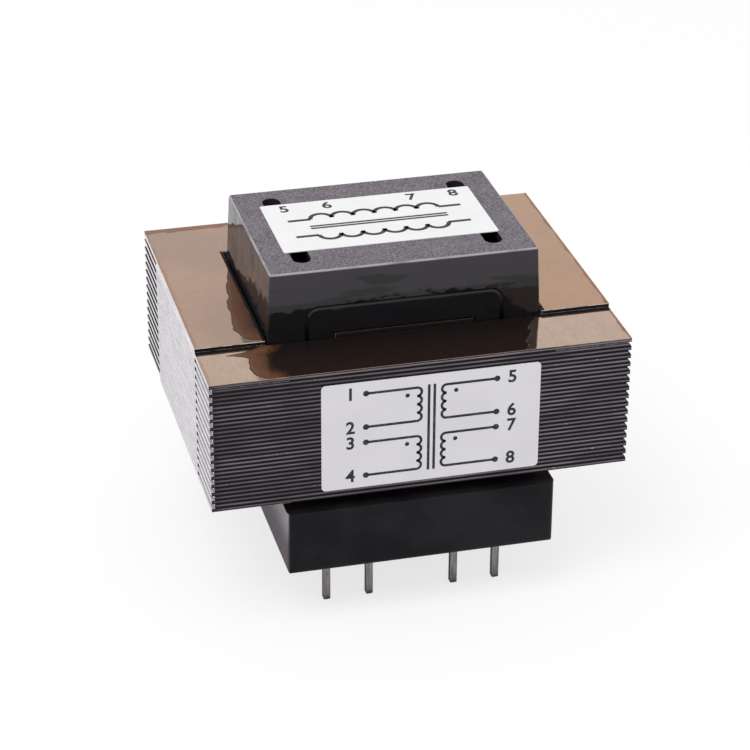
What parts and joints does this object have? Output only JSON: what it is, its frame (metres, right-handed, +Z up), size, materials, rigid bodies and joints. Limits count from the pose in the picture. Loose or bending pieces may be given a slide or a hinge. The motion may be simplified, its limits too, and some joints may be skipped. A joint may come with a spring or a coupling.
{
  "type": "laminated board-mount transformer",
  "caption": "Laminated transformer for a circuit board: interleaved steel core, split coil under a moulded cover, and a pin housing underneath.",
  "frame": {"origin": "centre of the pin pattern on the underside of the pin housing, which is the seating face on a board", "axes": "+X along the core's long side, +Y from the primary pins to the secondary pins, +Z up from the board"},
  "size_m": [0.0572, 0.0481, 0.0479],
  "materials": {
    "core_steel": "annealed silicon steel sheet under a thin varnish",
    "bar_steel": "annealed silicon steel sheet, cut bars",
    "cover_plastic": "satin black nylon, glossy varnish on the walls",
    "housing_plastic": "satin black nylon",
    "former_plastic": "black nylon under varnish",
    "copper_wire": "enamelled copper wire",
    "tape": "dark polyester tape",
    "pin_tin": "tinned brass",
    "label_white": "white printed film",
    "label_silver": "pale silver printed film"
  },
  "bodies": {
    "root": {"e_lamination_01": "core_steel", "e_lamination_02": "core_steel", "e_lamination_03": "core_steel", "e_lamination_04": "core_steel", "e_lamination_05": "core_steel", "e_lamination_06": "core_steel", "e_lamination_07": "core_steel", "e_lamination_08": "core_steel", "e_lamination_09": "core_steel", "e_lamination_10": "core_steel", "e_lamination_11": "core_steel", "e_lamination_12": "core_steel", "e_lamination_13": "core_steel", "e_lamination_14": "core_steel", "e_lamination_15": "core_steel", "e_lamination_16": "core_steel", "e_lamination_17": "core_steel", "e_lamination_18": "core_steel", "e_lamination_19": "core_steel", "e_lamination_20": "core_steel", "e_lamination_21": "core_steel", "e_lamination_22": "core_steel", "e_lamination_23": "core_steel", "e_lamination_24": "core_steel", "e_lamination_25": "core_steel", "e_lamination_26": "core_steel", "e_lamination_27": "core_steel", "e_lamination_28": "core_steel", "e_lamination_29": "core_steel", "e_lamination_30": "core_steel", "e_lamination_31": "core_steel", "e_lamination_32": "core_steel", "i_bars_front": "bar_steel", "i_bars_back": "bar_steel", "coil_former": "former_plastic", "primary_inner": "copper_wire", "primary_tape": "tape", "primary_outer": "copper_wire", "primary_wrap": "tape", "primary_leads": "copper_wire", "secondary_inner": "copper_wire", "secondary_tape": "tape", "secondary_outer": "copper_wire", "secondary_wrap": "tape", "secondary_leads": "copper_wire", "top_cover": "cover_plastic", "pin_housing": "housing_plastic", "pin_1": "pin_tin", "pin_2": "pin_tin", "pin_3": "pin_tin", "pin_4": "pin_tin", "pin_5": "pin_tin", "pin_6": "pin_tin", "pin_7": "pin_tin", "pin_8": "pin_tin", "top_label": "label_white", "front_label": "label_silver"}
  },
  "joints": []
}
